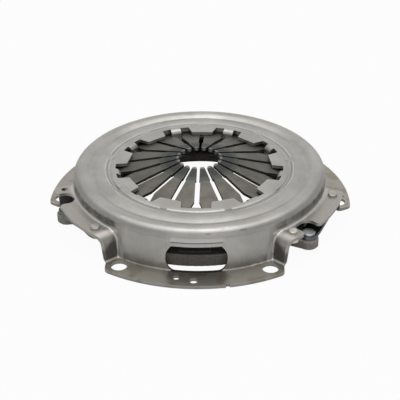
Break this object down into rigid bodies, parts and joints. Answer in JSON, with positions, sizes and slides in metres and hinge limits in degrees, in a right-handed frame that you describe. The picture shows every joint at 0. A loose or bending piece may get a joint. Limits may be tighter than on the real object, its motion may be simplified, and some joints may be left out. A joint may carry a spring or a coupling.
{
  "type": "clutch pressure plate",
  "caption": "Diaphragm-spring clutch pressure plate: pressed steel cover with a fingered spring, and a cast ring plate hung on leaf straps below it.",
  "frame": {"origin": "centre of the bolting face, on the clutch's axis", "axes": "+Z along the clutch's axis from the flywheel towards the release fingers; -Y through the middle of the first bolting lobe"},
  "size_m": [0.247, 0.2408, 0.0426],
  "materials": {
    "cover": "satin cold-pressed steel sheet, bare, with faint drawing marks",
    "diaphragm_spring": "heat-treated spring steel, dull grey-brown, finger tips hardened darker",
    "fulcrum_rings": "drawn steel wire, lightly oiled",
    "pressure_plate": "rough grey casting, friction face ground flat",
    "straps": "blued spring steel strip",
    "rivets": "plain steel, satin"
  },
  "bodies": {
    "cover_assembly": {"cover": "cover", "diaphragm_spring": "diaphragm_spring", "upper_fulcrum_ring": "fulcrum_rings", "lower_fulcrum_ring": "fulcrum_rings", "balance_rivet": "rivets", "strap_1_leaf_1": "straps", "strap_1_leaf_2": "straps", "strap_1_leaf_3": "straps", "strap_2_leaf_1": "straps", "strap_2_leaf_2": "straps", "strap_2_leaf_3": "straps", "strap_3_leaf_1": "straps", "strap_3_leaf_2": "straps", "strap_3_leaf_3": "straps", "ear_rivet_1": "rivets", "ear_rivet_2": "rivets", "ear_rivet_3": "rivets"},
    "plate_assembly": {"pressure_plate": "pressure_plate", "lug_rivet_1": "rivets", "lug_rivet_2": "rivets", "lug_rivet_3": "rivets"}
  },
  "joints": [
    {"name": "plate_lift", "type": "slide", "parent": "cover_assembly", "child": "plate_assembly", "axis": [0, 0, 1], "range_m": [0, 0.005], "stiffness_N_per_m": 3000, "deforming": ["diaphragm_spring", "strap_1_leaf_1", "strap_1_leaf_2", "strap_1_leaf_3", "strap_2_leaf_1", "strap_2_leaf_2", "strap_2_leaf_3", "strap_3_leaf_1", "strap_3_leaf_2", "strap_3_leaf_3"]}
  ]
}
